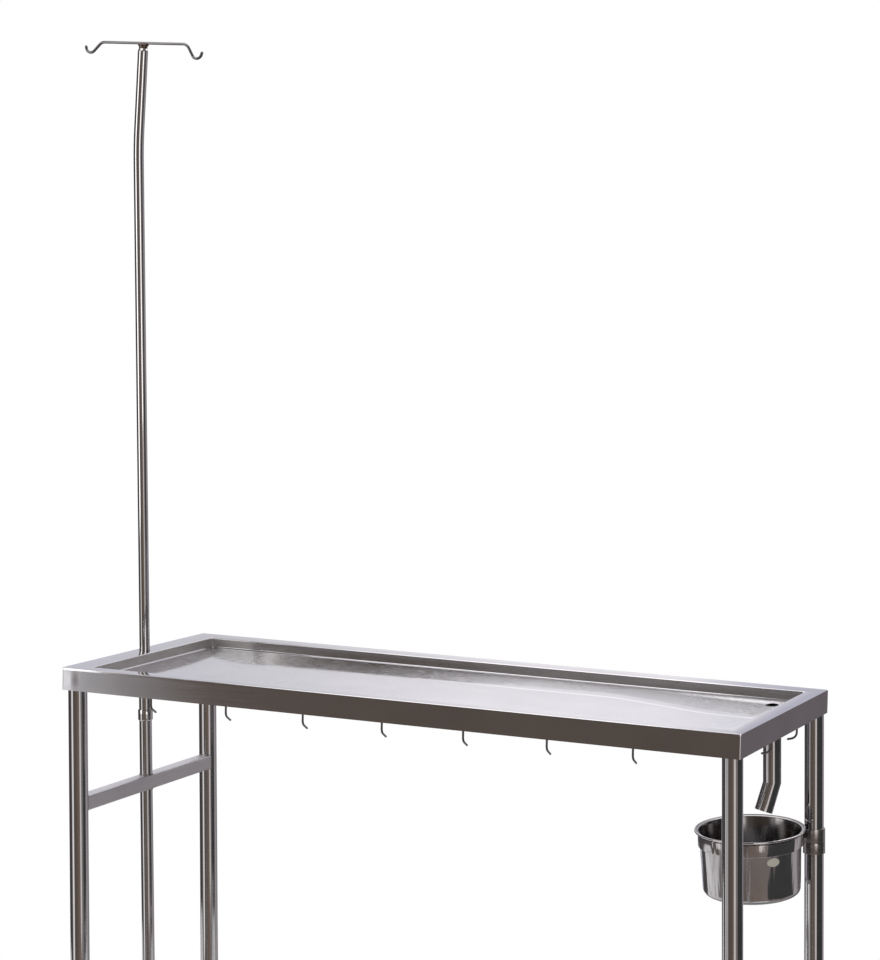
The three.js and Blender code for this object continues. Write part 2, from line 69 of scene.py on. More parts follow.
# Sizes of the solids that finer pieces follow, in metres
GAP = 0.3 * MM
TOP_LENGTH = 1180 * MM
TOP_DEPTH = 475 * MM
TOP_HEIGHT = 850 * MM
TOP_PITCH = math.radians(1.7)
SHEET = 1.5 * MM
SKIRT_HEIGHT = 38 * MM
FLOOR_DEPTH = 18 * MM
RIM_LEFT = 40 * MM
RIM_RIGHT = 30 * MM
RIM_FRONT = 31 * MM
RIM_REAR = 36 * MM
RIM_FALL = 0.9 * MM
CORNER_RADIUS = 2.5 * MM
EDGE_RADIUS = 1.5 * MM
WALL_BEND = 2 * MM
FLOOR_FILLET = 2 * MM
FLOOR_LAP = 4 * MM
DRAIN_FROM_END = 75 * MM
DRAIN_FROM_BACK = 68 * MM
DRAIN_BORE = 22 * MM
FALL_DEPTH = 5 * MM
FALL_LENGTH = 300 * MM
FALL_WIDTH = 190 * MM
LEG_RADIUS = 16 * MM
POLE_RADIUS = 9 * MM
SLIDE_CLEARANCE = 0.8 * MM
TUBE_RADIUS = 11 * MM
BAR_SIZE = 25 * MM
BAR_CORNER = 2.5 * MM
UPPER_BAR_DROP = 214 * MM
LOWER_BAR_HEIGHT = 150 * MM
POLE_LEAN = math.radians(0.3)
POLE_ABOVE_RIM = 1052 * MM
POLE_IN_TUBE = 230 * MM
POLE_BEND_FROM_TOP = 172 * MM
POLE_BEND = math.radians(4)
POLE_BEND_RADIUS = 900 * MM
POLE_BEND_STEPS = 8
PLUG_HEAD = 2.5 * MM
BAR_WIRE = 5 * MM
BAR_SHOULDER_BEND = 14 * MM
BAR_DIP_BEND = 9.5 * MM
BAR_TIP_ANGLE = 75
BAR_TIP = 5.5 * MM
BAR_SLOPE = 15.5 * MM
LEFT_SHOULDER = 78 * MM
LEFT_SLOPE_ANGLE = 46
RIGHT_SHOULDER = 79 * MM
RIGHT_SLOPE_ANGLE = 58
HOOK_WIRE = 3.5 * MM
HOOK_WELD = 18 * MM
HOOK_BEND = 11 * MM
HOOK_PITCH = 140 * MM
SIDE_HOOK = {"drop": 9.5 * MM, "angle": 60, "tail": 13.5 * MM}
END_HOOK = {"drop": 7 * MM, "angle": 75, "tail": 8 * MM}
BUCKET_RIM = 182 * MM
BUCKET_BODY = 167 * MM
BUCKET_BASE = 160 * MM
BUCKET_HEIGHT = 108 * MM
BUCKET_WALL = 1 * MM
BUCKET_BASE_BEND = 11 * MM
BUCKET_LIP = 6.5 * MM
BUCKET_BEAD = 1.8 * MM
BUCKET_BEAD_FROM = -70
BUCKET_BEAD_TO = 160
BUCKET_BEAD_STEPS = 12
BUCKET_BEND_STEPS = 10
RING_HEIGHT = 20 * MM
RING_WALL = 2 * MM
RING_EDGE = 0.6 * MM
RING_EDGE_STEPS = 3
RING_RISE = 8 * MM
ARM_LENGTH = 11 * MM
COLLAR_WALL = 2 * MM
SWIVEL_DROP = 256 * MM
HANGER_ANGLE = math.radians(222)
HANGER_DROOP = math.radians(3)
HANGER_TWIST = math.radians(2.4)

# The pale oval on the bucket, seen from the bucket's own middle
LABEL_ANGLE = math.radians(91.7)
LABEL_HEIGHT = -30.9 * MM
LABEL_WIDTH = 22 * MM
LABEL_RISE = 14 * MM
LABEL_THICKNESS = 0.12 * MM
LABEL_RINGS = (0.02, 0.3, 0.6, 0.85, 0.97, 1.0)
LABEL_SIDES = 48

# The floor's shallow sag towards its rear edge, with its two ends as places from the table's middle
SAG_WIDTH = 300 * MM
SAG_SLOPE = math.radians(1.0)
SAG_RIGHT_END = (250 * MM, -50 * MM)
SAG_LEFT_END = (-560 * MM, -360 * MM)

# The crease in the floor with a painted highlight line along it, and where it shows and where it turns to
# the front, from the table's middle
CREASE_WIDTH = 7 * MM
CREASE_HEIGHT = 0.5 * MM
CREASE_FROM_REAR = 120 * MM
CREASE_TURN = 67 * MM
CREASE_SHOWS = (-100 * MM, 100 * MM)
CREASE_TURNS = (240 * MM, 500 * MM)

# Where the floor's finish grows dull to the right, and the walls' finish to the left
FLOOR_DULLS = (-200 * MM, 100 * MM)
WALL_DULLS = (-420 * MM, -500 * MM)
WALL_DULLNESS = 0.26

# How far and over what length the corner welds push the skirt out
WELD_BULGE = 0.13 * MM
WELD_BULGE_REACH = 31 * MM

# Weld beads and tacks
BEAD_RADIUS = 1.1 * MM
BEAD_SIDES = 8
BEAD_PITCH = 1.2 * MM
BEAD_RIPPLE = 0.12
BAR_BEAD_INSET = 0.2 * MM
TUBE_BEAD_RADIUS = 1.0 * MM
TUBE_BEAD_OUTSET = 0.4 * MM
PLUG_BEAD_INSET = 0.6 * MM
ROUND_BEAD_PITCH = 1.1 * MM
TACK_RADIUS = 0.9 * MM
TACK_SUNK = 0.3 * MM
TACK_SHARES = (0.25, 0.5, 0.75)

# Sizes that follow from the ones above
LEG_INSET = SHEET + GAP + SKIRT_HEIGHT * math.sin(TOP_PITCH) + LEG_RADIUS
FLOOR_EDGE = FLOOR_FILLET + FLOOR_LAP
FLOOR_LEFT = RIM_LEFT + FLOOR_EDGE - TOP_LENGTH / 2
FLOOR_RIGHT = TOP_LENGTH / 2 - RIM_RIGHT - FLOOR_EDGE
FLOOR_FRONT = RIM_FRONT + FLOOR_EDGE - TOP_DEPTH / 2
FLOOR_REAR = TOP_DEPTH / 2 - RIM_REAR - FLOOR_EDGE
LEG_X = TOP_LENGTH / 2 * math.cos(TOP_PITCH) - LEG_INSET
LEG_Y = TOP_DEPTH / 2 - SHEET - GAP - LEG_RADIUS
DRAIN_X = TOP_LENGTH / 2 - DRAIN_FROM_END
DRAIN_Y = TOP_DEPTH / 2 - DRAIN_FROM_BACK
UPPER_BAR_Z = TOP_HEIGHT - UPPER_BAR_DROP
POLE_RISE = (UPPER_BAR_DROP + LEG_X * math.tan(TOP_PITCH)) / (
    math.cos(POLE_LEAN) - math.sin(POLE_LEAN) * math.tan(TOP_PITCH)
)

# The ground point under the middle of the table
TABLE_X = (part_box("leg_front_left")[0].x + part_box("leg_front_right")[1].x) / 2
TABLE = Matrix.Translation((TABLE_X, 0, 0))
TRAY = TABLE @ Matrix.Translation((0, 0, TOP_HEIGHT)) @ Matrix.Rotation(TOP_PITCH, 4, "Y")
POLE_LINE = TABLE @ Matrix.Translation((-LEG_X, 0, UPPER_BAR_Z)) @ Matrix.Rotation(-POLE_LEAN, 4, "Y")
POLE_AT_RIM = POLE_LINE @ Matrix.Translation((0, 0, POLE_RISE))
POLE_TOP = (
    POLE_AT_RIM
    @ Matrix.Translation((0, 0, POLE_ABOVE_RIM - POLE_BEND_FROM_TOP))
    @ Matrix.Rotation(POLE_BEND, 4, "Y")
    @ Matrix.Translation((0, 0, POLE_BEND_FROM_TOP))
)
RING_RADIUS = BUCKET_BODY / 2 + GAP + RING_WALL
HANGER_REACH = LEG_RADIUS + GAP + COLLAR_WALL + ARM_LENGTH + RING_RADIUS
RING = (
    TABLE
    @ Matrix.Translation((LEG_X, LEG_Y, TOP_HEIGHT - SWIVEL_DROP))
    @ Matrix.Rotation(HANGER_ANGLE, 4, "Z")
    @ Matrix.Translation((0, 0, RING_RISE))
    @ Matrix.Rotation(-HANGER_TWIST, 4, "X")
    @ Matrix.Rotation(HANGER_DROOP, 4, "Y")
    @ Matrix.Translation((HANGER_REACH, 0, 0))
)
BUCKET = RING @ Matrix.Translation((0, 0, RING_HEIGHT / 2 + GAP))


# Materials

# The range of a noise pattern that is spread over a material's tones, and the patterns' own scales
PATTERN_LOW = 0.3
PATTERN_HIGH = 0.7
EVEN = (1, 1, 1)
SMUDGE_SCALE = 9.0
PATCH_SCALE = 40.0


def new_material(name, colour, metallic, roughness):
    material = bpy.data.materials.new(name)
    material.use_nodes = True
    shader = material.node_tree.nodes["Principled BSDF"]
    shader.inputs["Base Color"].default_value = (*colour, 1)
    shader.inputs["Metallic"].default_value = metallic
    shader.inputs["Roughness"].default_value = roughness
    return material


def add_node(tree, kind, **settings):
    node = tree.nodes.new(kind)
    for name, value in settings.items():
        setattr(node, name, value)
    return node


def axes_of(tree, coordinates="Object"):
    """The X, Y and Z values of a place on a piece, or of a direction in the world."""
    place = add_node(tree, "ShaderNodeTexCoord")
    axes = add_node(tree, "ShaderNodeSeparateXYZ")
    tree.links.new(place.outputs[coordinates], axes.inputs["Vector"])
    return axes.outputs


def noise(tree, stretch, scale=1.0, detail=3.0, roughness=0.55):
    """A noise pattern on a piece; stretch makes it long along the axes with small values."""
    place = add_node(tree, "ShaderNodeTexCoord")
    mapping = add_node(tree, "ShaderNodeMapping")
    mapping.inputs["Scale"].default_value = stretch
    pattern = add_node(tree, "ShaderNodeTexNoise")
    pattern.inputs["Scale"].default_value = scale
    pattern.inputs["Detail"].default_value = detail
    pattern.inputs["Roughness"].default_value = roughness
    tree.links.new(place.outputs["Object"], mapping.inputs["Vector"])
    tree.links.new(mapping.outputs["Vector"], pattern.inputs["Vector"])
    return pattern.outputs["Fac"]


def spread(tree, value, low, high, start=PATTERN_LOW, end=PATTERN_HIGH, interpolation="LINEAR"):
    """Maps a value's range from start to end onto low to high."""
    node = add_node(tree, "ShaderNodeMapRange", interpolation_type=interpolation)
    node.inputs["From Min"].default_value = start
    node.inputs["From Max"].default_value = end
    node.inputs["To Min"].default_value = low
    node.inputs["To Max"].default_value = high
    tree.links.new(value, node.inputs["Value"])
    return node.outputs["Result"]


def ease(tree, value, low, high, start, end):
    """Maps a range like spread, with soft ends."""
    return spread(tree, value, low, high, start, end, "SMOOTHSTEP")


def two_tone(tree, value, dark, light):
    ramp = add_node(tree, "ShaderNodeValToRGB")
    tones = ((PATTERN_LOW, dark), (PATTERN_HIGH, light))
    for element, (position, colour) in zip(ramp.color_ramp.elements, tones):
        element.position = position
        element.color = (*colour, 1)
    tree.links.new(value, ramp.inputs["Fac"])
    return ramp.outputs["Color"]


def arithmetic(tree, operation, *values):
    """The result of a sum over one or two node outputs."""
    node = add_node(tree, "ShaderNodeMath", operation=operation)
    for value, socket in zip(values, node.inputs):
        tree.links.new(value, socket)
    return node.outputs["Value"]


def feed(tree, value, socket):
    """Gives a socket a plain colour or another node's output."""
    if isinstance(value, tuple):
        socket.default_value = (*value, 1)
    else:
        tree.links.new(value, socket)


def mixed(tree, share, first, second):
    """A colour between two, each of them a plain colour or a node's output."""
    node = add_node(tree, "ShaderNodeMix", data_type="RGBA")
    tree.links.new(share, node.inputs["Factor"])
    feed(tree, first, node.inputs["A"])
    feed(tree, second, node.inputs["B"])
    return node.outputs["Result"]


def bump(tree, value, height, before=None):
    node = add_node(tree, "ShaderNodeBump")
    node.inputs["Strength"].default_value = 1.0
    node.inputs["Distance"].default_value = height
    tree.links.new(value, node.inputs["Height"])
    if before is not None:
        tree.links.new(before, node.inputs["Normal"])
    return node.outputs["Normal"]


def smudged(tree, dark, light):
    smudges = noise(tree, EVEN, SMUDGE_SCALE, detail=5.0, roughness=0.6)
    return two_tone(tree, smudges, dark, light)


def steel(name, dark, light, roughness, brush, brush_height, wave, wave_height):
    """Stainless steel: brush lines, smudges and slow waves in the surface.

    roughness is a (low, high) pair; brush and wave are the stretches of the two patterns.
    """
    material = new_material(name, light, 1.0, roughness[0])
    tree = material.node_tree
    shader = tree.nodes["Principled BSDF"]
    lines = noise(tree, brush, detail=4.0)
    slow = noise(tree, wave, detail=1.0)
    tree.links.new(smudged(tree, dark, light), shader.inputs["Base Color"])
    tree.links.new(spread(tree, lines, *roughness), shader.inputs["Roughness"])
    waves = bump(tree, slow, wave_height)
    tree.links.new(bump(tree, lines, brush_height, waves), shader.inputs["Normal"])
    return material


def moulded(name, dark, light, roughness, grain_scale, grain_height):
    """Plastic, rubber and other non-metal surfaces with a fine moulded grain."""
    material = new_material(name, light, 0.0, roughness)
    tree = material.node_tree
    shader = tree.nodes["Principled BSDF"]
    grain = noise(tree, EVEN, grain_scale, detail=2.0)
    patches = noise(tree, EVEN, PATCH_SCALE)
    tree.links.new(two_tone(tree, patches, dark, light), shader.inputs["Base Color"])
    tree.links.new(bump(tree, grain, grain_height), shader.inputs["Normal"])
    return material


def from_middle(offsets):
    """Places along X, given from the table's middle."""
    return [TABLE_X + offset for offset in offsets]


# The tray floor's finish: brush lines, the step from polished to dull and how wear moves it, slow waves
FLOOR_BRUSH = (12, 3500, 3500)
FLOOR_STEP = (0.47, 0.53)
FLOOR_WEAR = (-0.08, 0.065)
FLOOR_WAVE = (3, 3, 3)
FLOOR_WAVE_HEIGHT = 200 * MICRON
# The painted highlight colour of the line along the floor's crease
CREASE_PAINTED_HIGHLIGHT = (0.82, 0.81, 0.83)


def floor_sag(tree, axes):
    """The height share of the floor where it sags to its rear edge; the sag fades out to both ends."""
    sag = ease(tree, axes["Y"], 1, 0, FLOOR_REAR - SAG_WIDTH, FLOOR_REAR)
    for ends in (SAG_RIGHT_END, SAG_LEFT_END):
        sag = arithmetic(tree, "MULTIPLY", sag, ease(tree, axes["X"], 0, 1, *from_middle(ends)))
    return sag


def scrubbed_steel(name, dark, light, sharp, dull):
    """The tray's floor: polished brush lines with dull ones between, more of them towards the drain, and a
    crease with a painted highlight line along it.
    """
    material = new_material(name, light, 1.0, sharp)
    tree = material.node_tree
    shader = tree.nodes["Principled BSDF"]
    axes = axes_of(tree)
    lines = noise(tree, FLOOR_BRUSH, detail=2.0)
    wear = spread(tree, axes["X"], *FLOOR_WEAR, *from_middle(FLOOR_DULLS))
    worn = arithmetic(tree, "ADD", lines, wear)
    tree.links.new(spread(tree, worn, sharp, dull, *FLOOR_STEP), shader.inputs["Roughness"])

    # The crease: a bump ridge, and a painted highlight along it in the base colour
    line = FLOOR_REAR - CREASE_FROM_REAR
    bend = ease(tree, axes["X"], line, line - CREASE_TURN, *from_middle(CREASE_TURNS))
    away = arithmetic(tree, "SUBTRACT", axes["Y"], bend)
    step = ease(tree, away, 0, 1, -CREASE_WIDTH, CREASE_WIDTH)
    near = ease(tree, arithmetic(tree, "ABSOLUTE", away), 1, 0, 0, CREASE_WIDTH)
    shown = spread(tree, axes["X"], 0, 1, *from_middle(CREASE_SHOWS))
    crease_highlight_share = arithmetic(tree, "MULTIPLY", near, shown)
    colour = mixed(tree, crease_highlight_share, smudged(tree, dark, light), CREASE_PAINTED_HIGHLIGHT)
    tree.links.new(colour, shader.inputs["Base Color"])

    sagging = bump(tree, floor_sag(tree, axes), SAG_WIDTH * math.tan(SAG_SLOPE))
    creased = bump(tree, arithmetic(tree, "MULTIPLY", step, shown), CREASE_HEIGHT, sagging)
    slow = noise(tree, FLOOR_WAVE, detail=1.0)
    tree.links.new(bump(tree, slow, FLOOR_WAVE_HEIGHT, creased), shader.inputs["Normal"])
    return material


def dull_end(material, dullness, start, end):
    """Adds roughness to a steel along X, from none at start to all of it at end."""
    tree = material.node_tree
    shader = tree.nodes["Principled BSDF"]
    added = ease(tree, axes_of(tree)["X"], 0, dullness, start, end)
    plain = shader.inputs["Roughness"].links[0].from_socket
    tree.links.new(arithmetic(tree, "ADD", plain, added), shader.inputs["Roughness"])


FLOOR_STEEL = scrubbed_steel(
    "floor_steel", dark=(0.60, 0.59, 0.61), light=(0.66, 0.65, 0.67), sharp=0.05, dull=0.42
)
SHEET_STEEL = steel(
    "sheet_steel",
    dark=(0.57, 0.56, 0.58),
    light=(0.64, 0.63, 0.65),
    roughness=(0.05, 0.11),
    brush=(12, 1500, 1500),
    brush_height=0.5 * MICRON,
    wave=(6, 6, 6),
    wave_height=150 * MICRON,
)
# The walls are the same sheet as rim and floor; their darker colour is painted shade inside the basin
WALL_SHADE_STEEL = steel(
    "wall_shade_steel",
    dark=(0.47, 0.46, 0.455),
    light=(0.54, 0.53, 0.525),
    roughness=(0.09, 0.12),
    brush=(12, 12, 3000),
    brush_height=0.4 * MICRON,
    wave=(6, 6, 6),
    wave_height=150 * MICRON,
)
dull_end(WALL_SHADE_STEEL, WALL_DULLNESS, *from_middle(WALL_DULLS))
TUBE_STEEL = steel(
    "tube_steel",
    dark=(0.58, 0.57, 0.58),
    light=(0.65, 0.64, 0.65),
    roughness=(0.05, 0.10),
    brush=(500, 500, 8),
    brush_height=0.6 * MICRON,
    wave=(40, 40, 9),
    wave_height=60 * MICRON,
)
BAR_STEEL = steel(
    "bar_steel",
    dark=(0.60, 0.59, 0.61),
    light=(0.68, 0.67, 0.69),
    roughness=(0.42, 0.55),
    brush=(900, 8, 900),
    brush_height=6 * MICRON,
    wave=(12, 6, 12),
    wave_height=200 * MICRON,
)
PAIL_STEEL = steel(
    "pail_steel",
    dark=(0.60, 0.575, 0.585),
    light=(0.74, 0.715, 0.725),
    roughness=(0.09, 0.16),
    brush=(260, 260, 6),
    brush_height=3 * MICRON,
    wave=(90, 90, 3),
    wave_height=1200 * MICRON,
)
# The bucket's own steel, darkened inside it and under its base: painted shade
PAIL_SHADE_INSIDE = steel(
    "pail_shade_inside",
    dark=(0.20, 0.19, 0.19),
    light=(0.36, 0.35, 0.35),
    roughness=(0.12, 0.22),
    brush=(260, 260, 6),
    brush_height=2 * MICRON,
    wave=(22, 22, 5),
    wave_height=200 * MICRON,
)
COLLAR_STEEL = steel(
    "collar_steel",
    dark=(0.40, 0.37, 0.35),
    light=(0.54, 0.51, 0.50),
    roughness=(0.22, 0.34),
    brush=(20, 20, 900),
    brush_height=6 * MICRON,
    wave=(50, 50, 30),
    wave_height=100 * MICRON,
)
WELD_STEEL = steel(
    "weld_steel",
    dark=(0.24, 0.20, 0.17),
    light=(0.50, 0.47, 0.46),
    roughness=(0.28, 0.45),
    brush=(300, 300, 300),
    brush_height=40 * MICRON,
    wave=(90, 90, 90),
    wave_height=200 * MICRON,
)

# The hooks, the hook bar and the pole's top share one grain; their steel is darkened as painted shade
GRAIN = {
    "brush": (400, 400, 400),
    "brush_height": 8 * MICRON,
    "wave": (60, 60, 60),
    "wave_height": 100 * MICRON,
}
HOOK_SHADE_STEEL = steel("hook_shade_steel", (0.12, 0.115, 0.115), (0.24, 0.235, 0.235), (0.20, 0.32), **GRAIN)
WIRE_SHADE_STEEL = steel("wire_shade_steel", (0.13, 0.125, 0.125), (0.20, 0.19, 0.19), (0.12, 0.22), **GRAIN)
POLE_TOP_SHADE_STEEL = steel("pole_top_shade_steel", (0.08, 0.06, 0.05), (0.17, 0.13, 0.11), (0.25, 0.4), **GRAIN)

# The bucket's arm is near black
ARM_STEEL = moulded("arm_near_black", (0.012, 0.012, 0.013), (0.028, 0.027, 0.029), 0.42, 900.0, 30 * MICRON)
NYLON = moulded("grey_nylon", (0.055, 0.056, 0.06), (0.08, 0.081, 0.086), 0.55, 1200.0, 30 * MICRON)
RUBBER = moulded("black_rubber", (0.009, 0.009, 0.010), (0.016, 0.016, 0.017), 0.75, 700.0, 60 * MICRON)
LABEL_FILM = moulded("label_film", (0.50, 0.47, 0.40), (0.60, 0.57, 0.50), 0.35, 300.0, 10 * MICRON)


# Mesh building

# Angles in degrees: where two faces meet in a hard line, where an edge is rounded, and what counts as flat
SHARP_ANGLE = 32
TRAY_SHARP_ANGLE = 28
WIRE_SHARP_ANGLE = 50
ROUNDED_ANGLE = 40
FLAT_ANGLE = 0.4

# Points closer than this are one point
CAD_MERGE = 2 * MICRON
TRAY_MERGE = 1 * MICRON

# How finely round shapes are split
ROUND_SIDES = 128
HOLE_SIDES = 64
POLE_SIDES = 40
BAR_WIRE_SIDES = 18
HOOK_SIDES = 14
WIRE_STEP = 6
WIRE_END_ANGLES = (22, 45, 68, 90)


def make_object(name, mesh, material):
    mesh.materials.append(material)
    piece = bpy.data.objects.new(name, mesh)
    scene.collection.objects.link(piece)
    return piece


def from_bmesh(name, work, material, sharp_angle=SHARP_ANGLE, place=None):
    """Makes a piece from a bmesh: smooth faces, with hard lines only where faces meet steeply."""
    if place is not None:
        bmesh.ops.transform(work, matrix=place, verts=work.verts)
    bmesh.ops.recalc_face_normals(work, faces=work.faces)
    limit = math.radians(sharp_angle)
    for face in work.faces:
        face.smooth = True
    for edge in work.edges:
        edge.smooth = len(edge.link_faces) == 2 and edge.calc_face_angle(0.0) < limit
    mesh = bpy.data.meshes.new(name)
    work.to_mesh(mesh)
    work.free()
    return make_object(name, mesh, material)


def refine(node, material, rounding=0.4 * MM, sharp_angle=SHARP_ANGLE):
    """A smooth copy of a CAD node with its hard edges slightly rounded, shown in the node's place."""
    work = bmesh.new()
    work.from_mesh(frame["nodes"][node].data)
    bmesh.ops.remove_doubles(work, verts=work.verts, dist=CAD_MERGE)
    flat = math.radians(FLAT_ANGLE)
    bmesh.ops.dissolve_limit(work, angle_limit=flat, verts=work.verts, edges=work.edges)
    if rounding:
        limit = math.radians(ROUNDED_ANGLE)
        paired = [edge for edge in work.edges if len(edge.link_faces) == 2]
        hard = [edge for edge in paired if edge.calc_face_angle(0.0) > limit]
        bmesh.ops.bevel(
            work, geom=hard, offset=rounding, segments=2, profile=0.5, affect="EDGES", clamp_overlap=True
        )
    piece = from_bmesh(f"{node}_shown", work, material, sharp_angle)
    return stand_for(piece, node)


def stand_for(piece, node):
    """Shows a piece in the place of a CAD node and on its body."""
    body = frame["nodes"][node]["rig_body"]
    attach(piece, body)
    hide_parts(node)
    return piece


def add_detail(piece, body):
    """Fixes a piece that only the scene has to a body."""
    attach(piece, body)
    return piece


def steps_between(start, end, count):
    """Even steps from start towards end, without end itself."""
    return [start + (end - start) * i / count for i in range(count)]


def turns(count):
    """Even angles once round."""
    return [2 * math.pi * i / count for i in range(count)]


def arc(x, y, radius, start, end, steps):
    """Points of an arc about (x, y), from one angle to another in degrees."""
    angles = (math.radians(start + (end - start) * i / steps) for i in range(steps + 1))
    return [(x + radius * math.cos(a), y + radius * math.sin(a)) for a in angles]


def rounded_rectangle(width, height, radius, steps):
    x, y = width / 2 - radius, height / 2 - radius
    return (
        arc(x, y, radius, 0, 90, steps)
        + arc(-x, y, radius, 90, 180, steps)
        + arc(-x, -y, radius, 180, 270, steps)
        + arc(x, -y, radius, 270, 360, steps)
    )


def skin(work, rings, closed_rings=True, closed_loop=False):
    """Faces between neighbouring rings of points; returns the rings' vertices."""
    rows = [[work.verts.new(point) for point in ring] for ring in rings]
    count = len(rows[0])
    for i in range(len(rows) if closed_loop else len(rows) - 1):
        here, after = rows[i], rows[(i + 1) % len(rows)]
        for j in range(count if closed_rings else count - 1):
            k = (j + 1) % count
            work.faces.new((here[j], after[j], after[k], here[k]))
    return rows


def spin(name, outline, sides, material, place):
    """A revolved piece; the outline runs from the axis to the axis as (radius, height)."""
    work = bmesh.new()
    rings = []
    for radius, height in outline[1:-1]:
        rings.append([(radius * math.cos(a), radius * math.sin(a), height) for a in turns(sides)])
    rows = skin(work, rings)
    for row, (_, height) in ((rows[0], outline[0]), (rows[-1], outline[-1])):
        tip = work.verts.new((0, 0, height))
        for j in range(sides):
            work.faces.new((tip, row[j], row[(j + 1) % sides]))
    return from_bmesh(name, work, material, place=place)


def bent_wire(start, heading, moves):
    """Points of a bent wire in the XZ plane, from runs in metres and turns in degrees about a radius."""
    x, z = start
    points = [(x, 0, z)]
    for run, turn, radius in moves:
        steps = max(1, math.ceil(abs(turn) / WIRE_STEP))
        length = 2 * radius * math.sin(math.radians(abs(turn)) / steps / 2) if turn else run
        for _ in range(steps):
            heading += turn / steps / 2
            x += length * math.cos(math.radians(heading))
            z += length * math.sin(math.radians(heading))
            heading += turn / steps / 2
            points.append((x, 0, z))
    return points


def rounded_end(points, radius):
    """Steps of a round end in place of the first point; returns points and their share of the radius."""
    first, second = points[0], points[1]
    along = (second - first).normalized()
    angles = [math.radians(a) for a in WIRE_END_ANGLES]
    steps = [first + along * radius * (1 - math.cos(a)) for a in angles]
    return steps + points[1:], [math.sin(a) for a in angles] + [1.0] * (len(points) - 1)


def sweep(name, points, radius, sides, material, place, closed=False, ripple=0.0):
    """A round bar along points, closed into a ring or with round ends; ripple swells it like a weld."""
    points = [Vector(p) for p in points]
    if closed:
        shares = [1 + ripple * (1 if i % 2 else -1) for i in range(len(points))]
    else:
        points, first = rounded_end(points, radius)
        points, last = rounded_end(points[::-1], radius)
        points = points[::-1]
        shares = first + [1.0] * (len(points) - len(first))
        shares = [min(a, b) for a, b in zip(shares, last[::-1])]
    count = len(points)
    work = bmesh.new()
    rings = []
    normal = None
    for i, point in enumerate(points):
        before = points[(i - 1) % count] if closed or i else point
        after = points[(i + 1) % count] if closed or i < count - 1 else point
        along = (after - before).normalized()
        if normal is None:
            normal = along.orthogonal()
        normal = (normal - along * normal.dot(along)).normalized()
        across = along.cross(normal)
        size = radius * shares[i]
        rings.append([point + size * (math.cos(a) * normal + math.sin(a) * across) for a in turns(sides)])
    rows = skin(work, rings, closed_loop=closed)
    if not closed:
        work.faces.new(rows[0])
        work.faces.new(rows[-1])
    return from_bmesh(name, work, material, WIRE_SHARP_ANGLE, place)


def bead_ring(radius, height):
    """Points of a level circle, an even number of them, for a weld bead round a tube."""
    count = 2 * round(math.pi * radius / ROUND_BEAD_PITCH)
    return [(radius * math.cos(a), radius * math.sin(a), height) for a in turns(count)]


def weld(name, path, place, body="frame", material=WELD_STEEL, radius=BEAD_RADIUS):
    """A rippled weld bead along a closed path."""
    bead = sweep(name, path, radius, BEAD_SIDES, material, place, closed=True, ripple=BEAD_RIPPLE)
    return add_detail(bead, body)


def combine(piece, tool, operation):
    """Joins or cuts a piece with another and removes that other."""
    modifier = piece.modifiers.new("combine", "BOOLEAN")
    modifier.operation = operation
    modifier.solver = "EXACT"
    modifier.object = tool
    bpy.context.view_layer.update()
    shaped = piece.evaluated_get(bpy.context.evaluated_depsgraph_get())
    mesh = bpy.data.meshes.new_from_object(shaped)
    piece.modifiers.clear()
    piece.data = mesh
    bpy.data.objects.remove(tool)


# Tray

# Into how many steps the tray's bends and the floor's fall are split
SKIRT_STEPS = 8
EDGE_STEPS = 5
BEND_STEPS = 8
FILLET_STEPS = 7
BULGE_STEPS = 12
FALL_LENGTH_STEPS = 40
FALL_END_STEPS = 14
FALL_WIDTH_STEPS = 28
FALL_REAR_STEPS = 12

# A corner of the tray, ground to a narrow flat between two rounded edges, as offsets from its centre
FLAT_FROM = 10
FLAT_TO = 56
GROUND_CORNER = arc(0, 0, CORNER_RADIUS, 0, FLAT_FROM, 2) + arc(0, 0, CORNER_RADIUS, FLAT_TO, 90, 2)

# How much of a face's normal points up on the floor, and at most on a wall
FACES_UP = 0.9
STANDS_UPRIGHT = 0.1


def fall_at(x, y):
    """How far the floor has fallen towards the drain hole."""
    across = (x - DRAIN_X) / (FALL_LENGTH if x < DRAIN_X else FLOOR_RIGHT - DRAIN_X)
    along = (y - DRAIN_Y) / (FALL_WIDTH if y < DRAIN_Y else FLOOR_REAR - DRAIN_Y)
    reach = min(1.0, math.hypot(across, along))
    return FALL_DEPTH * math.cos(math.pi / 2 * reach) ** 2


def tray_section():
    """The bent sheet's section as (on the wall, inset, height): skirt, rim, wall, floor edge, back."""
    bend_z = -WALL_BEND - RIM_FALL
    fillet_z = FLOOR_FILLET - FLOOR_DEPTH
    skirt_outside = [(0, z) for z in steps_between(-SKIRT_HEIGHT, -EDGE_RADIUS, SKIRT_STEPS)]
    skirt_outside += arc(EDGE_RADIUS, -EDGE_RADIUS, EDGE_RADIUS, 180, 90, EDGE_STEPS)
    wall = (
        arc(-WALL_BEND, bend_z, WALL_BEND, 90, 0, BEND_STEPS)
        + arc(FLOOR_FILLET, fillet_z, FLOOR_FILLET, 180, 270, FILLET_STEPS)
        + [(FLOOR_EDGE, -FLOOR_DEPTH), (FLOOR_EDGE, -FLOOR_DEPTH - SHEET)]
        + arc(FLOOR_FILLET, fillet_z, FLOOR_FILLET + SHEET, 270, 180, FILLET_STEPS)
        + arc(-WALL_BEND, bend_z, WALL_BEND - SHEET, 0, 90, BEND_STEPS)
    )
    skirt_inside = [(SHEET, z) for z in steps_between(-SHEET, -SKIRT_HEIGHT, SKIRT_STEPS)]
    skirt_inside.append((SHEET, -SKIRT_HEIGHT))
    return (
        [(False, *place) for place in skirt_outside]
        + [(True, *place) for place in wall]
        + [(False, *place) for place in skirt_inside]
    )


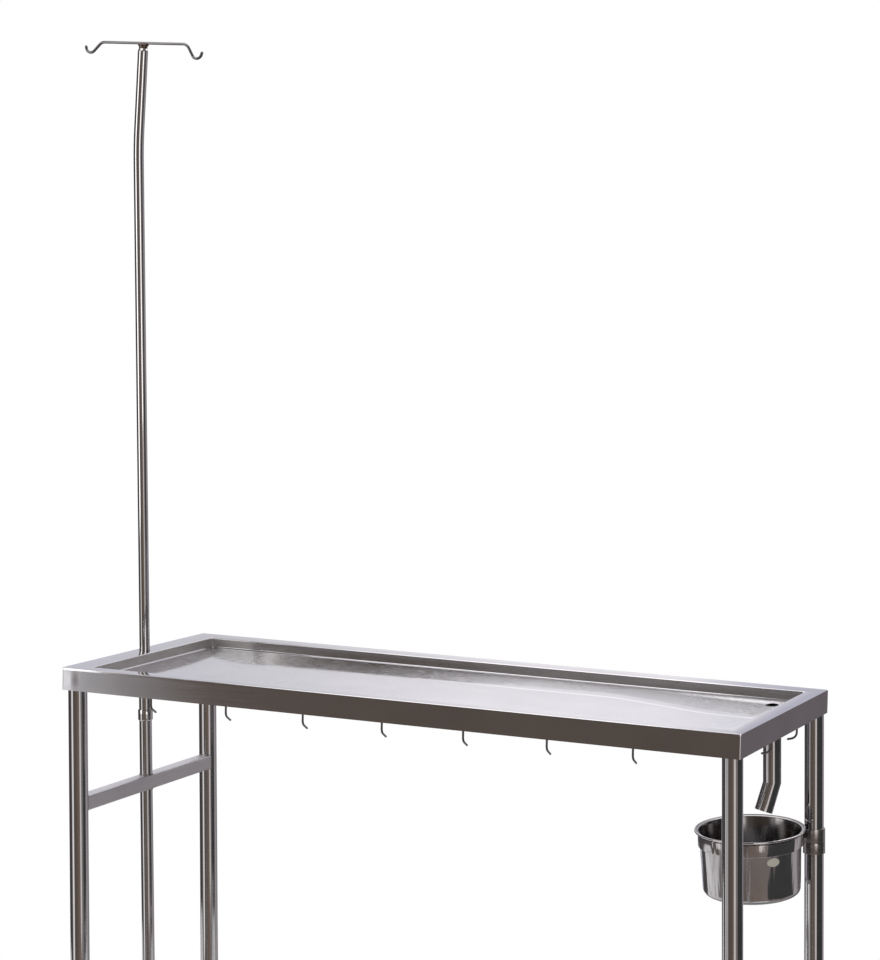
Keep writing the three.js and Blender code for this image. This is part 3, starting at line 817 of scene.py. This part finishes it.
def tray_ring(on_wall, inset, height):
    """One level ring of the tray; near its corners the skirt bulges out from the weld's heat."""
    rims = (RIM_LEFT, RIM_RIGHT, RIM_FRONT, RIM_REAR) if on_wall else (0, 0, 0, 0)
    left, right, front, rear = (rim + inset + CORNER_RADIUS for rim in rims)
    reach_x = (TOP_LENGTH - left - right) / 2
    reach_y = (TOP_DEPTH - front - rear) / 2
    middle = Vector(((left - right) / 2, (front - rear) / 2))
    share = 0.0 if on_wall else math.sin(math.pi * -height / SKIRT_HEIGHT)
    near = []
    for i in range(1, BULGE_STEPS + 1):
        bulge = share * WELD_BULGE * math.sin(math.pi * i / BULGE_STEPS) ** 2
        near.append((WELD_BULGE_REACH * i / BULGE_STEPS, bulge))
    points = []
    for quarter in range(4):
        out, half = (reach_x, reach_y) if quarter % 2 == 0 else (reach_y, reach_x)
        side = [(out + CORNER_RADIUS + bulge, along - half) for along, bulge in near]
        side += [(out + CORNER_RADIUS + bulge, half - along) for along, bulge in reversed(near)]
        side += [(out + x, half + y) for x, y in GROUND_CORNER]
        rotation = Matrix.Rotation(quarter * math.pi / 2, 2)
        points += [(*(rotation @ Vector(p) + middle), height) for p in side]
    return points


def tray_finish(face):
    """Which of the tray's finishes a face has: 0 on rim and skirt, 1 on the floor, 2 on the walls, whose
    colour is darkened as painted shade.
    """
    middle = face.calc_center_median()
    if face.normal.z > FACES_UP and middle.z < GAP - FLOOR_DEPTH:
        return 1
    inside = abs(middle.x) < TOP_LENGTH / 2 - 2 * SHEET and abs(middle.y) < TOP_DEPTH / 2 - 2 * SHEET
    upright = abs(face.normal.z) < STANDS_UPRIGHT
    return 2 if inside and upright and middle.z > -FLOOR_DEPTH else 0


def make_floor_slab():
    """The tray's floor with its fall to the drain, lapping into the bent sheet's floor edge."""
    lap = FLOOR_LAP / 2
    columns = (
        [FLOOR_LEFT - lap]
        + steps_between(DRAIN_X - FALL_LENGTH, DRAIN_X, FALL_LENGTH_STEPS)
        + steps_between(DRAIN_X, FLOOR_RIGHT, FALL_END_STEPS)
        + [FLOOR_RIGHT, FLOOR_RIGHT + lap]
    )
    rows = (
        [FLOOR_FRONT - lap]
        + steps_between(DRAIN_Y - FALL_WIDTH, DRAIN_Y, FALL_WIDTH_STEPS)
        + steps_between(DRAIN_Y, FLOOR_REAR, FALL_REAR_STEPS)
        + [FLOOR_REAR, FLOOR_REAR + lap]
    )
    slab = bmesh.new()
    layers = []
    for depth in (FLOOR_DEPTH, FLOOR_DEPTH + SHEET):
        grid = [[(x, y, -depth - fall_at(x, y)) for x in columns] for y in rows]
        layers.append(skin(slab, grid, closed_rings=False))
    upper, lower = layers
    for i in range(len(columns) - 1):
        for end in (0, -1):
            slab.faces.new((upper[end][i], upper[end][i + 1], lower[end][i + 1], lower[end][i]))
    for i in range(len(rows) - 1):
        for end in (0, -1):
            slab.faces.new((upper[i][end], upper[i + 1][end], lower[i + 1][end], lower[i][end]))
    return from_bmesh("tray_floor", slab, SHEET_STEEL)


def make_tray():
    work = bmesh.new()
    rings = [tray_ring(*place) for place in tray_section()]
    skin(work, rings, closed_loop=True)
    tray = from_bmesh("tray_top_shown", work, SHEET_STEEL)
    combine(tray, make_floor_slab(), "UNION")

    pole_x = (LEG_X + POLE_RISE * math.sin(POLE_LEAN)) / math.cos(TOP_PITCH)
    for name, x, y, radius, middle in (
        ("drain_cut", DRAIN_X, DRAIN_Y, DRAIN_BORE / 2, -FLOOR_DEPTH),
        ("pole_cut", -pole_x, 0, POLE_RADIUS + SLIDE_CLEARANCE, 0),
    ):
        bottom, top = middle - FLOOR_DEPTH, middle + FLOOR_DEPTH
        outline = [(0, bottom), (radius, bottom), (radius, top), (0, top)]
        cutter = spin(name, outline, HOLE_SIDES, SHEET_STEEL, Matrix.Translation((x, y, 0)))
        combine(tray, cutter, "DIFFERENCE")

    smooth = bmesh.new()
    smooth.from_mesh(tray.data)
    bpy.data.objects.remove(tray)
    bmesh.ops.remove_doubles(smooth, verts=smooth.verts, dist=TRAY_MERGE)
    for face in smooth.faces:
        face.material_index = tray_finish(face)
    tray = from_bmesh("tray_top_shown", smooth, SHEET_STEEL, TRAY_SHARP_ANGLE, TRAY)
    tray.data.materials.append(FLOOR_STEEL)
    tray.data.materials.append(WALL_SHADE_STEEL)
    return stand_for(tray, "tray_top")


make_tray()
for side in ("left", "right"):
    refine(f"stiffener_{side}", BAR_STEEL)


# Legs, feet and bars

CORNERS = ("front_left", "front_right", "rear_left", "rear_right")
for corner in CORNERS:
    refine(f"leg_{corner}", TUBE_STEEL, rounding=0)
    refine(f"foot_insert_{corner}", NYLON)
    refine(f"foot_{corner}", RUBBER, rounding=0.6 * MM)
for bar in ("crossbar_left_upper", "crossbar_left_lower", "crossbar_right_lower", "stretcher_lower"):
    refine(bar, BAR_STEEL, rounding=0, sharp_angle=20)


def along_outline(corners):
    """A closed outline split into short even steps for a weld bead."""
    points = []
    for i, here in enumerate(corners):
        after = corners[(i + 1) % len(corners)]
        parts = max(1, round(math.dist(here, after) / BEAD_PITCH))
        for k in range(parts):
            points.append(tuple(a + (b - a) * k / parts for a, b in zip(here, after)))
    return points


# The line of a bead round a bar's end, across the bar
BEAD_SIZE = BAR_SIZE - 2 * BAR_BEAD_INSET
BEAD_OUTLINE = along_outline(rounded_rectangle(BEAD_SIZE, BEAD_SIZE, BAR_CORNER, 3))


def weld_bar_to_leg(name, x, z, sign):
    """The weld where a bar's end meets a round leg."""
    path = []
    for u, v in BEAD_OUTLINE:
        path.append((x + u, sign * (LEG_Y - math.sqrt(LEG_RADIUS**2 - u**2)), z + v))
    return weld(name, path, TABLE)


for label, x, z in (
    ("upper_left", -LEG_X, UPPER_BAR_Z),
    ("lower_left", -LEG_X, LOWER_BAR_HEIGHT),
    ("lower_right", LEG_X, LOWER_BAR_HEIGHT),
):
    weld_bar_to_leg(f"weld_{label}_front", x, z, -1)
    weld_bar_to_leg(f"weld_{label}_rear", x, z, 1)

for side, sign in (("left", -1), ("right", 1)):
    end = sign * (LEG_X - BAR_SIZE / 2 - GAP)
    path = [(end, y, LOWER_BAR_HEIGHT + z) for y, z in BEAD_OUTLINE]
    weld(f"weld_stretcher_{side}", path, TABLE)


# Pole line

refine("pole_tube", TUBE_STEEL, rounding=0)
refine("pole_tube_collar", TUBE_STEEL, rounding=0.3 * MM)
# The pole's top plug, darkened as painted shade under the hook bar
refine("pole_plug", POLE_TOP_SHADE_STEEL, rounding=0.3 * MM)
refine("pole_glide", NYLON)

for label, height in (("upper", BAR_SIZE / 2), ("lower", -BAR_SIZE / 2)):
    ring = bead_ring(TUBE_RADIUS + TUBE_BEAD_OUTSET, height)
    weld(f"weld_tube_{label}", ring, POLE_LINE, radius=TUBE_BEAD_RADIUS)


def make_pole():
    """The pole from its lower end up to the bend near its top, and on to its upper end."""
    setback = POLE_BEND_RADIUS * math.tan(POLE_BEND / 2)
    below = POLE_IN_TUBE + POLE_ABOVE_RIM - POLE_BEND_FROM_TOP - setback
    above = POLE_BEND_FROM_TOP - setback
    part = math.degrees(POLE_BEND) / POLE_BEND_STEPS
    bend = [(0, -part, POLE_BEND_RADIUS)] * POLE_BEND_STEPS
    points = bent_wire((0, -POLE_IN_TUBE), 90, [(below, 0, 0), *bend, (above, 0, 0)])
    pole = sweep("drip_pole_shown", points, POLE_RADIUS, POLE_SIDES, TUBE_STEEL, POLE_AT_RIM)
    return stand_for(pole, "drip_pole")


def bar_half(shoulder, slope_angle):
    """One half of the hook bar: out, down over the shoulder and up round the dip."""
    return bent_wire(
        (0, 0),
        0,
        [
            (shoulder, 0, 0),
            (0, -slope_angle, BAR_SHOULDER_BEND),
            (BAR_SLOPE, 0, 0),
            (0, slope_angle + BAR_TIP_ANGLE, BAR_DIP_BEND),
            (BAR_TIP, 0, 0),
        ],
    )


def make_hook_bar():
    seat = POLE_TOP @ Matrix.Translation((0, 0, PLUG_HEAD + 2 * GAP + BAR_WIRE / 2))
    left = [(-x, y, z) for x, y, z in bar_half(LEFT_SHOULDER, LEFT_SLOPE_ANGLE)]
    points = left[:0:-1] + bar_half(RIGHT_SHOULDER, RIGHT_SLOPE_ANGLE)
    bar = sweep("hook_bar_shown", points, BAR_WIRE / 2, BAR_WIRE_SIDES, WIRE_SHADE_STEEL, seat)
    stand_for(bar, "hook_bar")
    ring = bead_ring(POLE_RADIUS - PLUG_BEAD_INSET, PLUG_HEAD)
    weld("weld_hook_bar", ring, POLE_TOP, "pole", POLE_TOP_SHADE_STEEL)


make_pole()
make_hook_bar()


# Tie hooks


def make_tie_hook(node, turn, distance, along, shape):
    """A hook on the skirt's inner face, with a tack on each side; turn faces it to its side of the tray."""
    moves = [(HOOK_WELD + shape["drop"], 0, 0), (0, shape["angle"], HOOK_BEND), (shape["tail"], 0, 0)]
    points = bent_wire((0, HOOK_WELD), -90, moves)
    seat = (-distance + SHEET + GAP + HOOK_WIRE / 2, along, -SKIRT_HEIGHT)
    place = TRAY @ Matrix.Rotation(math.radians(turn), 4, "Z") @ Matrix.Translation(seat)
    hook = sweep(f"{node}_shown", points, HOOK_WIRE / 2, HOOK_SIDES, HOOK_SHADE_STEEL, place)
    stand_for(hook, node)
    for side in (-1, 1):
        x, y = TACK_SUNK - HOOK_WIRE / 2, side * HOOK_WIRE / 2
        line = [(x, y, HOOK_WELD * share) for share in TACK_SHARES]
        tack = sweep(f"{node}_tack_{side + 2}", line, TACK_RADIUS, BEAD_SIDES, WELD_STEEL, place)
        add_detail(tack, "frame")


for side, turn, distance, shape in (
    ("front", 90, TOP_DEPTH / 2, SIDE_HOOK),
    ("rear", -90, TOP_DEPTH / 2, SIDE_HOOK),
    ("left", 0, TOP_LENGTH / 2, END_HOOK),
    ("right", 180, TOP_LENGTH / 2, END_HOOK),
):
    count = sum(node.startswith(f"tie_hook_{side}_") for node in frame["nodes"])
    for i in range(count):
        along = (i - (count - 1) / 2) * HOOK_PITCH
        make_tie_hook(f"tie_hook_{side}_{i + 1}", turn, distance, along, shape)


# Drain pipe, hanger and bucket

refine("drain_pipe", TUBE_STEEL, rounding=0, sharp_angle=14)
for node in ("swivel_collar", "stop_collar"):
    refine(node, COLLAR_STEEL, rounding=0.5 * MM)
refine("bucket_arm", ARM_STEEL, rounding=0.8 * MM)


def make_ring():
    inner, outer = RING_RADIUS - RING_WALL + RING_EDGE, RING_RADIUS - RING_EDGE
    reach = RING_HEIGHT / 2 - RING_EDGE
    section = (
        arc(outer, -reach, RING_EDGE, 270, 360, RING_EDGE_STEPS)
        + arc(outer, reach, RING_EDGE, 0, 90, RING_EDGE_STEPS)
        + arc(inner, reach, RING_EDGE, 90, 180, RING_EDGE_STEPS)
        + arc(inner, -reach, RING_EDGE, 180, 270, RING_EDGE_STEPS)
    )
    work = bmesh.new()
    rings = [[(r * math.cos(a), r * math.sin(a), z) for r, z in section] for a in turns(ROUND_SIDES)]
    skin(work, rings, closed_loop=True)
    ring = from_bmesh("bucket_ring_shown", work, PAIL_STEEL, place=RING)
    return stand_for(ring, "bucket_ring")


def bucket_radius(height):
    """Outer radius of the bucket's tapered wall at a height below its lip."""
    bend_top = BUCKET_LIP - BUCKET_HEIGHT + BUCKET_BASE_BEND
    share = (height - bend_top) / (-GAP - bend_top)
    return BUCKET_BASE / 2 + (BUCKET_BODY - BUCKET_BASE) / 2 * share


def make_bucket():
    base, body = BUCKET_BASE / 2, BUCKET_BODY / 2
    bottom = BUCKET_LIP - BUCKET_HEIGHT
    bend = BUCKET_BASE_BEND
    bead_x, bead_z = BUCKET_RIM / 2 - BUCKET_BEAD, BUCKET_LIP - BUCKET_BEAD
    inside = body - BUCKET_WALL
    outline = (
        [(0, bottom)]
        + arc(base - bend, bottom + bend, bend, 270, 360, BUCKET_BEND_STEPS)
        + [(body, -GAP), (body + BUCKET_BEAD, BUCKET_LIP / 2)]
        + arc(bead_x, bead_z, BUCKET_BEAD, BUCKET_BEAD_FROM, BUCKET_BEAD_TO, BUCKET_BEAD_STEPS)
        + [(inside + BUCKET_BEAD, BUCKET_LIP / 2 + BUCKET_WALL), (inside, -GAP)]
        + arc(base - bend, bottom + bend, bend - BUCKET_WALL, 360, 270, BUCKET_BEND_STEPS)
        + [(0, bottom + BUCKET_WALL)]
    )
    bucket = spin("bucket_shown", outline, ROUND_SIDES, PAIL_STEEL, BUCKET)
    bucket.data.materials.append(PAIL_SHADE_INSIDE)
    # The inside and the base get the darker steel, painted shade
    to_bucket = BUCKET.inverted()
    for face in bucket.data.polygons:
        middle = to_bucket @ face.center
        facing = to_bucket.to_3x3() @ face.normal
        on_base = middle.z < bottom + bend / 2
        inward = facing.x * middle.x + facing.y * middle.y < 0
        face.material_index = 1 if on_base or inward else 0
    return stand_for(bucket, "bucket")


def make_label():
    """The pale oval stuck on the bucket's wall, as rings from its middle to its edge."""
    work = bmesh.new()
    rings = []
    for share in LABEL_RINGS:
        lift = LABEL_THICKNESS if share < 1 else 0.0
        ring = []
        for angle in turns(LABEL_SIDES):
            height = LABEL_HEIGHT + share * LABEL_RISE / 2 * math.sin(angle)
            radius = bucket_radius(height) + lift
            around = LABEL_ANGLE + share * LABEL_WIDTH / 2 * math.cos(angle) / radius
            ring.append((radius * math.cos(around), radius * math.sin(around), height))
        rings.append(ring)
    rows = skin(work, rings)
    work.faces.new(rows[0])
    label = from_bmesh("bucket_label", work, LABEL_FILM, place=BUCKET)
    return add_detail(label, "drain_bucket")


make_ring()
make_bucket()
make_label()


# Floor, light and camera

# The floor sheet in metres from the table's middle, and its own white in the steel and as seen directly
FLOOR_ACROSS = (-2.2, 1.0)
FLOOR_ALONG = (-0.38, 0.75)
FLOOR_FADE = 0.2
FLOOR_MIRRORED = 0.1
FLOOR_SEEN = 0.4
FLOOR_GREY = (0.8, 0.8, 0.8)
FLOOR_DARK = (0.79, 0.79, 0.79)
FLOOR_LIGHT = (0.81, 0.81, 0.81)
FLOOR_GRAIN_SCALE = 30.0
WHITE = (1.0, 1.0, 1.0)
MATT = 0.9

# A dark card beside the drain end, seen only in the steel: its distance, length and height in metres
CARD_DISTANCE = 1.35
CARD_ALONG = (-0.45, 0.9)
CARD_HEIGHT = 1.15
CARD_DARK = (0.05, 0.052, 0.052)
CARD_LIGHT = (0.07, 0.073, 0.072)


def flat_sheet(name, corners, material):
    """A sheet from its corners, given from the ground point under the table's middle."""
    work = bmesh.new()
    work.faces.new([work.verts.new(TABLE @ Vector(corner)) for corner in corners])
    return from_bmesh(name, work, material)


def make_floor():
    material = new_material("pale_floor", FLOOR_GREY, 0.0, MATT)
    tree = material.node_tree
    shader = tree.nodes["Principled BSDF"]
    grain = noise(tree, EVEN, FLOOR_GRAIN_SCALE)
    tree.links.new(two_tone(tree, grain, FLOOR_DARK, FLOOR_LIGHT), shader.inputs["Base Color"])
    path = add_node(tree, "ShaderNodeLightPath")
    own_white = spread(tree, path.outputs["Is Camera Ray"], FLOOR_MIRRORED, FLOOR_SEEN, 0, 1)
    feed(tree, WHITE, shader.inputs["Emission Color"])
    tree.links.new(own_white, shader.inputs["Emission Strength"])

    axes = axes_of(tree)
    fades = []
    for axis, (start, end) in (("X", from_middle(FLOOR_ACROSS)), ("Y", FLOOR_ALONG)):
        for edge, inside in ((start, start + FLOOR_FADE), (end, end - FLOOR_FADE)):
            fades.append(ease(tree, axes[axis], 0, 1, edge, inside))
    shown = fades[0]
    for fade in fades[1:]:
        shown = arithmetic(tree, "MULTIPLY", shown, fade)
    tree.links.new(shown, shader.inputs["Alpha"])

    (left, right), (front, rear) = FLOOR_ACROSS, FLOOR_ALONG
    corners = [(left, front, 0), (right, front, 0), (right, rear, 0), (left, rear, 0)]
    floor = flat_sheet("floor", corners, material)


def make_card():
    material = moulded("dark_card", CARD_DARK, CARD_LIGHT, MATT, 200, 100 * MICRON)
    x, top = CARD_DISTANCE, CARD_HEIGHT
    start, end = CARD_ALONG
    card = flat_sheet("dark_card", [(x, start, 0), (x, end, 0), (x, end, top), (x, start, top)], material)
    card.visible_camera = False
    card.visible_diffuse = False
    card.visible_shadow = False


# What polished steel mirrors of the studio, by compass bearing from the back, clockwise in degrees
ROOM = (0.13, 0.105, 0.088)
GLOW = (0.60, 0.59, 0.60)
WARM_ROOM = (0.22, 0.17, 0.14)
SHADE = (0.07, 0.065, 0.065)
BACKDROP_EDGE = (0.62, 0.62, 0.72)
BACKDROP_SIDE = (0.70, 0.70, 0.74)
BACKDROP = (1.0, 0.98, 1.02)
DIM_BACKDROP = (0.57, 0.57, 0.66)
GREY_WALL = (0.17, 0.15, 0.16)
SIDE_WALL = (0.42, 0.39, 0.40)
PALE_CORNER = (0.27, 0.25, 0.25)
STUDIO = (
    (-180, ROOM),
    (-149.6, ROOM),
    (-148.2, GLOW),
    (-146, GLOW),
    (-118, ROOM),
    (-108, SHADE),
    (-42, SHADE),
    (-36, BACKDROP_EDGE),
    (-28, BACKDROP_SIDE),
    (-22, BACKDROP),
    (-18, BACKDROP),
    (-16.5, DIM_BACKDROP),
    (6, DIM_BACKDROP),
    (11, GREY_WALL),
    (22, GREY_WALL),
    (30, SIDE_WALL),
    (56, SIDE_WALL),
    (68, GREY_WALL),
    (80, SHADE),
    (94, SHADE),
    (106, PALE_CORNER),
    (145, WARM_ROOM),
    (180, ROOM),
)
CEILING_BEHIND = (1.15, 1.13, 1.17)
CEILING_BEFORE = (0.16, 0.15, 0.15)
GROUND = (0.2, 0.18, 0.17)
SOFT_LIGHT = 0.5

# Shares of a direction's length along Y or Z: where the ceiling turns, where it and the ground begin
CEILING_TURNS = (-0.1, 0.4)
CEILING_BEGINS = (0.25, 0.55)
GROUND_BEGINS = (-0.35, -0.7)


def studio_colour(tree):
    """What steel mirrors in each direction: the walls by bearing, the ceiling above, the ground below."""
    axes = axes_of(tree, "Generated")
    bearing = arithmetic(tree, "ARCTAN2", axes["X"], axes["Y"])
    walls = add_node(tree, "ShaderNodeValToRGB")
    stops = walls.color_ramp.elements
    for i, (degrees, colour) in enumerate(STUDIO):
        position = (degrees + 180) / 360
        element = stops[i] if i < 2 else stops.new(position)
        element.position = position
        element.color = (*colour, 1)
    tree.links.new(spread(tree, bearing, 0, 1, -math.pi, math.pi), walls.inputs["Fac"])
    to_back = spread(tree, axes["Y"], 0, 1, *CEILING_TURNS)
    ceiling = mixed(tree, to_back, CEILING_BEFORE, CEILING_BEHIND)
    upward = spread(tree, axes["Z"], 0, 1, *CEILING_BEGINS)
    above = mixed(tree, upward, walls.outputs["Color"], ceiling)
    downward = spread(tree, axes["Z"], 0, 1, *GROUND_BEGINS)
    return mixed(tree, downward, above, GROUND)


def background(tree, colour, strength=1.0):
    node = add_node(tree, "ShaderNodeBackground")
    feed(tree, colour, node.inputs["Color"])
    node.inputs["Strength"].default_value = strength
    return node.outputs["Background"]


def choose(tree, share, first, second):
    """The first shader where share is 0 and the second where it is 1."""
    node = add_node(tree, "ShaderNodeMixShader")
    for value, socket in zip((share, first, second), node.inputs):
        tree.links.new(value, socket)
    return node.outputs["Shader"]


def make_world():
    """White where it is seen directly, the studio's colours in the steel and a soft light elsewhere."""
    world = bpy.data.worlds.new("studio")
    scene.world = world
    world.use_nodes = True
    tree = world.node_tree
    tree.nodes.clear()
    path = add_node(tree, "ShaderNodeLightPath")
    soft = background(tree, WHITE, SOFT_LIGHT)
    mirrored = background(tree, studio_colour(tree))
    around = choose(tree, path.outputs["Is Glossy Ray"], soft, mirrored)
    shown = choose(tree, path.outputs["Is Camera Ray"], around, background(tree, WHITE))
    output = add_node(tree, "ShaderNodeOutputWorld")
    tree.links.new(shown, output.inputs["Surface"])


def add_lamp(name, place, target, size, brightness):
    """A soft box of a width and height in metres; brightness 1 shows as white in a mirror."""
    lamp = bpy.data.lights.new(name, "AREA")
    lamp.shape = "RECTANGLE"
    lamp.size, lamp.size_y = size
    lamp.energy = brightness * math.pi * size[0] * size[1]
    holder = bpy.data.objects.new(name, lamp)
    turn = (Vector(target) - Vector(place)).to_track_quat("-Z", "Y").to_matrix().to_4x4()
    holder.matrix_world = TABLE @ Matrix.Translation(place) @ turn
    holder.visible_camera = False
    scene.collection.objects.link(holder)


# Where the soft boxes beside the table stand, in metres from its middle
LEFT_BOX = (-1.92, -1.63)
RIGHT_BOX = (2.97, -2.89)


def make_lamps():
    add_lamp("overhead", (0.1, 1.5, 3.1), (0.1, 1.0, 0), (3.0, 2.4), 1.2)
    add_lamp("front_overhead", (-0.8, -1.0, 3.0), (-0.8, -0.8, 0), (1.2, 2.2), 1.9)
    for name, (x, y), height, size, brightness in (
        ("left_softbox", LEFT_BOX, 1.75, (1.0, 2.1), 1.6),
        ("left_softbox_low", LEFT_BOX, 0.2, (0.8, 1.0), 0.55),
        ("right_strip", RIGHT_BOX, 1.8, (1.7, 2.2), 1.6),
        ("right_strip_low", RIGHT_BOX, 0.0, (1.3, 1.4), 0.55),
    ):
        add_lamp(name, (x, y, height), (0, 0, height), size, brightness)


# The camera as fitted to the photograph: focal length and picture centre in its pixels
PICTURE_HEIGHT = 960
FOCAL_LENGTH = 2565.7
PICTURE_CENTRE = 390.1
CAMERA_PLACE = Vector((1.7340, -3.8648, 1.4762))
CAMERA_YAW = math.radians(24.21)
CAMERA_PITCH = math.radians(-2.0)
CAMERA_ROLL = math.radians(-0.21)
SENSOR_WIDTH = 36
FARTHEST_SEEN = 100


def make_camera():
    data = bpy.data.cameras.new("camera")
    data.sensor_width = SENSOR_WIDTH
    data.lens = FOCAL_LENGTH / PICTURE_HEIGHT * SENSOR_WIDTH
    data.shift_y = (PICTURE_CENTRE - PICTURE_HEIGHT / 2) / PICTURE_HEIGHT
    data.clip_end = FARTHEST_SEEN
    camera = bpy.data.objects.new("camera", data)
    turn = Matrix.Rotation(CAMERA_YAW, 4, "Z") @ Matrix.Rotation(math.pi / 2 + CAMERA_PITCH, 4, "X")
    turn = turn @ Matrix.Rotation(CAMERA_ROLL, 4, "Z")
    camera.matrix_world = TABLE @ Matrix.Translation(CAMERA_PLACE) @ turn
    scene.collection.objects.link(camera)
    scene.camera = camera


make_floor()
make_card()
make_world()
make_lamps()
make_camera()
scene.view_settings.view_transform = "Standard"
